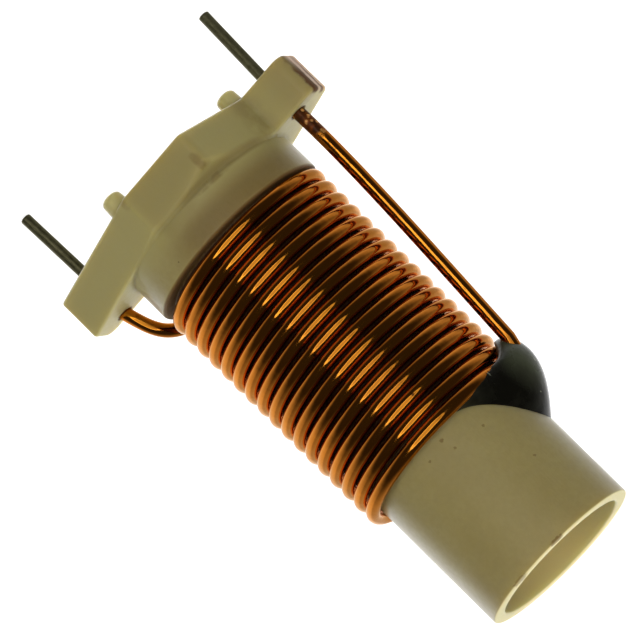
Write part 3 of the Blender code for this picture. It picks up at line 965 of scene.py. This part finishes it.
def start_lead_route():
    ear = Vector((LEAD_X, 0.0, BASE_TOP))
    landing = coil_point(COIL_START)
    approach = landing - coil_direction(COIL_START) * START_LANDING
    approach.z += START_LANDING_RISE
    return interpolate_bezier(ear, ear + START_LEAN, approach, landing, START_STEPS)


def coil_route():
    sweep = COIL_END - COIL_START
    count = round(sweep / FULL_TURN * STEPS_PER_TURN)
    return [coil_point(COIL_START + sweep * step / count) for step in range(1, count)]


def bend_route():
    leaving = coil_point(COIL_END)
    outwards = leaving + coil_direction(COIL_END) * BEND_REACH
    outwards.z += BEND_RISE
    return interpolate_bezier(leaving, outwards, RETURN_TOP + BEND_TURN, RETURN_TOP, BEND_STEPS)


def return_route():
    ear = Vector((-LEAD_X, 0.0, BASE_TOP))
    return interpolate_bezier(RETURN_TOP, RETURN_TOP + RETURN_DOWN, ear + RETURN_UP, ear,
                              RETURN_STEPS)


def lead_stations(tip, side):
    """(centre, radius) from a lead's rounded tip up to where the enamel begins."""
    foot = Vector((tip[0], 0.0, tip[1]))
    board = Vector((side * LEAD_X, 0.0, BASE_BOTTOM))
    upwards = (board - foot).normalized()
    stations = []
    for step in range(TIP_STEPS + 1):
        angle = QUARTER_TURN * step / TIP_STEPS
        centre = foot + upwards * TIP_ROUNDING * (1.0 - math.cos(angle))
        stations.append((centre, TINNED_RADIUS - TIP_ROUNDING * (1.0 - math.sin(angle))))
    start = stations[-1][0]
    for step in range(1, LEAD_STEPS + 1):
        stations.append((start.lerp(board, step / LEAD_STEPS), TINNED_RADIUS))
    for height, radius in ((TINNING_END, TINNED_RADIUS),
                           (TINNING_END + ENAMEL_STEP, WIRE_RADIUS)):
        stations.append((Vector((side * LEAD_X, 0.0, height)), radius))
    return stations


def wire_stations():
    """(centre, radius) along the whole wire, from one lead's tip to the other's."""
    middle = start_lead_route() + coil_route() + bend_route() + return_route()[1:]
    run = [(point, WIRE_RADIUS) for point in middle]
    return lead_stations(START_TIP, 1.0) + run + list(reversed(lead_stations(END_TIP, -1.0)))


def wire_sweep_tree():
    """Geometry nodes: a route of points becomes a round wire of changing thickness."""
    tree = bpy.data.node_groups.new("wire_sweep", 'GeometryNodeTree')
    face = tree.interface
    face.new_socket("Route", in_out='INPUT', socket_type='NodeSocketGeometry')
    face.new_socket("Sides around", in_out='INPUT', socket_type='NodeSocketInt')
    face.new_socket("Unevenness", in_out='INPUT', socket_type='NodeSocketFloat')
    face.new_socket("Seed", in_out='INPUT', socket_type='NodeSocketFloat')
    face.new_socket("Finish", in_out='INPUT', socket_type='NodeSocketMaterial')
    face.new_socket("Wire", in_out='OUTPUT', socket_type='NodeSocketGeometry')
    sheet = Sheet(tree)
    given = sheet.node('NodeGroupInput')

    def entry(name):
        return Field(sheet, given.outputs[name])

    def attribute(name):
        return sheet.field('GeometryNodeInputNamedAttribute', {"data_type": 'FLOAT'},
                           {"Name": name})

    route = sheet.field('GeometryNodeMeshToCurve', None, {"Mesh": entry("Route")})
    place = sheet.field('GeometryNodeInputPosition')
    sway = sheet.field('ShaderNodeTexNoise', {"noise_dimensions": '4D'},
                       {"Vector": place, "W": entry("Seed"), "Scale": WIRE_SWAYS_PER_METRE,
                        "Detail": 1.0}, 1)
    sway = sheet.vector_maths('SUBTRACT', sway, (0.5, 0.5, 0.5))
    sway = sheet.field('ShaderNodeVectorMath', {"operation": 'SCALE'},
                       {0: sway, "Scale": entry("Unevenness") * attribute("on_coil")})
    route = sheet.field('GeometryNodeSetPosition', None, {"Geometry": route, "Offset": sway})
    circle = sheet.field('GeometryNodeCurvePrimitiveCircle', {"mode": 'RADIUS'},
                         {"Resolution": entry("Sides around"), "Radius": 1.0})
    wire = sheet.field('GeometryNodeCurveToMesh', None,
                       {"Curve": route, "Profile Curve": circle, "Scale": attribute("thickness"),
                        "Fill Caps": True})
    wire = sheet.field('GeometryNodeSetShadeSmooth', None, {"Geometry": wire})
    wire = sheet.field('GeometryNodeRealizeInstances', None, {"Geometry": wire})
    wire = sheet.field('GeometryNodeSetMaterial', None,
                       {"Geometry": wire, "Material": entry("Finish")})
    sheet.node('NodeGroupOutput', None, {"Wire": wire})
    return tree


def set_inputs(modifier, values):
    """Sets a geometry-nodes modifier's inputs, given by their names."""
    for item in modifier.node_group.interface.items_tree:
        if item.in_out == 'INPUT' and item.name in values:
            modifier[item.identifier] = values[item.name]


def build_winding(finish):
    stations = wire_stations()
    mesh = bpy.data.meshes.new("enamelled_wire")
    mesh.from_pydata([centre for centre, _ in stations],
                     [(index, index + 1) for index in range(len(stations) - 1)], [])
    thickness = mesh.attributes.new("thickness", 'FLOAT', 'POINT')
    on_coil = mesh.attributes.new("on_coil", 'FLOAT', 'POINT')
    for index, (centre, radius) in enumerate(stations):
        thickness.data[index].value = radius
        around = math.hypot(centre.x, centre.y)
        settled = 1.0 - min(abs(around - COIL_RADIUS) / COIL_LEAVING, 1.0)
        on_coil.data[index].value = settled if centre.z > COLLAR_TOP else 0.0
    wire = add_object("enamelled_wire", mesh)
    sweep = wire.modifiers.new("sweep", 'NODES')
    sweep.node_group = wire_sweep_tree()
    set_inputs(sweep, {"Sides around": WIRE_SIDES, "Unevenness": WIRE_UNEVENNESS,
                       "Seed": float(WIRE_SEED), "Finish": finish})
    settle(wire)
    shape = bmesh.new()
    shape.from_mesh(wire.data)
    bmesh.ops.recalc_face_normals(shape, faces=shape.faces)
    shape.to_mesh(wire.data)
    shape.free()
    wire.data.set_sharp_from_angle(angle=WIRE_END_ANGLE)
    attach(wire, "root")
    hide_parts("winding_wire")
    return wire


# ---------------------------------------------------------------- adhesive

def glue_foot(turn):
    """Height of the adhesive's edge on the tube at this turn about the axis."""
    if turn > GLUE_MIDDLE:
        foot, span = GLUE_FRONT_FOOT, GLUE_FRONT_SPAN
    else:
        foot, span = GLUE_BACK_FOOT, GLUE_BACK_SPAN
    share = min(abs(turn - GLUE_MIDDLE) / span, 1.0)
    return foot + (GLUE_PEAK - foot) * math.cos(QUARTER_TURN * share) ** 2


def glue_section(turn):
    """(radius, height) points of the adhesive's section at this turn about the axis."""
    last_turn = COIL_TURNS - 1
    if turn + COIL_TURNS * FULL_TURN < COIL_END:
        last_turn = COIL_TURNS
    seat = coil_height(turn + last_turn * FULL_TURN)
    foot = glue_foot(turn)
    lump = math.exp(-((turn - LUMP_TURN) / LUMP_SPREAD) ** 2)
    skirt = math.exp(-((turn - LUMP_TURN) / SKIRT_SPREAD) ** 2)
    outside = GLUE_CREST_RADIUS + LUMP_SWELL * lump
    middle = seat + LUMP_RISE * lump
    hem = min(outside - HEM_MARGIN, COIL_SIDE_RADIUS)
    bottom = seat - SKIRT_EDGE - SKIRT_DEPTH * skirt
    section = [(GLUE_ROOT_RADIUS, foot)]
    for step in range(CROWN_STEPS + 1):
        share = step / CROWN_STEPS
        swell = 1.0 - (1.0 - share) ** 2
        section.append((TUBE_RADIUS + (outside - TUBE_RADIUS) * swell,
                        foot + (middle - foot) * share))
    for step in range(1, SKIRT_STEPS + 1):
        angle = QUARTER_TURN * step / SKIRT_STEPS
        section.append((hem + (outside - hem) * math.cos(angle),
                        middle + (bottom - middle) * math.sin(angle)))
    section.append((hem - HEM_STEP, seat))
    section.append((GLUE_ROOT_RADIUS, seat))
    return section


def build_adhesive(finish):
    rings = []
    for step in range(GLUE_STEPS + 1):
        turn = GLUE_START + (GLUE_END - GLUE_START) * step / GLUE_STEPS
        rings.append([(radius * math.cos(turn), radius * math.sin(turn), height)
                      for radius, height in glue_section(turn)])
    blob = object_from(loft(rings), "cured_adhesive")
    grain = blob.modifiers.new("even_skin", 'REMESH')
    grain.mode = 'VOXEL'
    grain.voxel_size = GLUE_GRAIN
    ease = blob.modifiers.new("ease", 'SMOOTH')
    ease.factor = 0.5
    ease.iterations = GLUE_EASING_PASSES
    settle(blob)
    blob.data.shade_smooth()
    blob.data.materials.clear()
    blob.data.materials.append(finish)
    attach(blob, "root")
    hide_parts("adhesive")
    return blob


# ---------------------------------------------------------------- camera, light, floor

def camera_axes():
    """The camera's right, up and back, after its roll."""
    azimuth, elevation, roll = CAMERA_AZIMUTH, CAMERA_ELEVATION, CAMERA_ROLL
    back = Vector((math.cos(elevation) * math.cos(azimuth),
                   math.cos(elevation) * math.sin(azimuth), math.sin(elevation)))
    level = Vector((-math.sin(azimuth), math.cos(azimuth), 0.0))
    steep = back.cross(level)
    right = level * math.cos(roll) + steep * math.sin(roll)
    up = steep * math.cos(roll) - level * math.sin(roll)
    return right, up, back


def place_camera():
    right, up, back = camera_axes()
    data = bpy.data.cameras.new("photo_view")
    data.lens = LENS
    data.sensor_width = SENSOR_WIDTH
    data.clip_start = NEAREST_SEEN
    data.clip_end = FARTHEST_SEEN
    camera = add_object("photo_view", data)
    spot = LOOK_AT - right * CAMERA_AIM[0] - up * CAMERA_AIM[1] + back * CAMERA_DISTANCE
    turn = Matrix((right, up, back)).transposed().to_4x4()
    camera.matrix_world = Matrix.Translation(spot) @ turn
    bpy.context.scene.camera = camera


def place_overhead_lamp():
    """A wide soft lamp above the open end, for the matt light only."""
    data = bpy.data.lights.new("overhead_softbox", 'AREA')
    data.shape = 'SQUARE'
    data.size = OVERHEAD_SIZE
    data.energy = OVERHEAD_LEVEL * math.pi * OVERHEAD_SIZE * OVERHEAD_SIZE
    lamp = add_object(data.name, data)
    lamp.matrix_world = Matrix.Translation((0.0, 0.0, OVERHEAD_HEIGHT))
    lamp.visible_camera = False
    lamp.visible_glossy = False


def within(sheet, look, direction, angles):
    """1 within the first angle of a direction, 0 beyond the second, and soft between."""
    full, edge = angles
    return sheet.rise(sheet.along(look, direction), math.cos(edge), math.cos(full))


def ring_light(sheet, look, back):
    """A bright ring about the camera with a weaker middle."""
    towards = sheet.along(look, Matrix.Rotation(RING_ASIDE, 3, 'Z') @ back)
    disc = sheet.rise(towards, math.cos(RING_OUTSIDE) - RING_OUTER_SOFTNESS,
                      math.cos(RING_OUTSIDE))
    hollow = sheet.rise(towards, math.cos(RING_INSIDE) - RING_INNER_SOFTNESS,
                        math.cos(RING_INSIDE))
    return disc * (RING_LEVEL - hollow * (RING_LEVEL - RING_MIDDLE_LEVEL))


def matt_light(sheet, look, back):
    """What matt surfaces receive besides the ring: wall, wings, dim sides and fill."""
    wings = WINGS_LEVEL * within(sheet, look, -back, WINGS_ANGLES)
    wall = (WALL_LEVEL - WINGS_LEVEL) * within(sheet, look, -back, WALL_ANGLES)
    aside = Matrix.Rotation(RING_ASIDE, 3, 'Z') @ back
    fill = FILL_LEVEL * within(sheet, look, aside, FILL_ANGLES)
    return SIDES_LEVEL + wings + wall + fill


def gloss_light(sheet, look, back):
    """What gloss mirrors besides the ring: a wall that is weaker above and to one side."""
    wall = MIRRORED_WALL_LEVEL * within(sheet, look, -back, MIRRORED_WALL_ANGLES)
    dim = within(sheet, look, DIM_SIDE, DIM_SIDE_ANGLES)
    above = sheet.rise(sheet.along(look, UPWARDS), *UPWARDS_COSINES)
    return MIRRORED_SIDES_LEVEL + wall * (1.0 - DIM_SIDE_LOSS * dim) * (
        1.0 - UPWARDS_LOSS * above)


def light_surroundings():
    """Light from all around: a ring about the camera and a bright wall behind the object.

    Gloss sees a dimmer wall than matt surfaces do. To the camera itself everything is white.
    """
    world = bpy.data.worlds.new("studio")
    bpy.context.scene.world = world
    world.use_nodes = True
    sheet = Sheet(world.node_tree)
    look = sheet.field('ShaderNodeTexCoord', None, None, "Generated")
    _, _, back = camera_axes()
    rays = sheet.node('ShaderNodeLightPath')
    seen = Field(sheet, rays.outputs["Is Camera Ray"])
    mirrored = sheet.largest(Field(sheet, rays.outputs["Is Glossy Ray"]),
                             Field(sheet, rays.outputs["Is Transmission Ray"]))
    fading = sheet.rise(sheet.along(look, FADING_SIDE), *FADING_COSINES)
    front = ring_light(sheet, look, back) * (1.0 - FADING_LOSS * mirrored * fading)
    matt = matt_light(sheet, look, back)
    level = front + matt + mirrored * (gloss_light(sheet, look, back) - matt)
    level = level + seen * (1.0 - level)
    sheet.feed(world.node_tree.nodes["Background"],
               {"Color": (1.0, 1.0, 1.0, 1.0), "Strength": level})


def lay_floor():
    """A wide pale floor under the leads' tips that looks white and keeps the shadow."""
    shape = bmesh.new()
    bmesh.ops.create_circle(shape, cap_ends=True, radius=FLOOR_RADIUS, segments=FLOOR_SIDES)
    bmesh.ops.translate(shape, verts=shape.verts, vec=(0.0, 0.0, FLOOR_HEIGHT))
    floor = object_from(shape, "floor")
    material = bpy.data.materials.new("pale_floor")
    material.use_nodes = True
    material.node_tree.nodes.clear()
    sheet = Sheet(material.node_tree)
    rays = sheet.node('ShaderNodeLightPath')
    seen = Field(sheet, rays.outputs["Is Camera Ray"])
    matt = sheet.field('ShaderNodeBsdfDiffuse', None, {"Color": FLOOR_GREY})
    glow = sheet.field('ShaderNodeEmission', None, {"Strength": seen * FLOOR_GLOW})
    both = sheet.field('ShaderNodeAddShader', None, {0: matt, 1: glow})
    sheet.node('ShaderNodeOutputMaterial', None, {"Surface": both})
    floor.data.materials.append(material)
    floor.visible_glossy = False
    floor.visible_diffuse = False
    floor.visible_shadow = False


build_former(ivory_plastic())
build_winding(copper_enamel())
build_adhesive(black_adhesive())
place_camera()
place_overhead_lamp()
light_surroundings()
lay_floor()
bpy.context.scene.view_settings.view_transform = 'Standard'
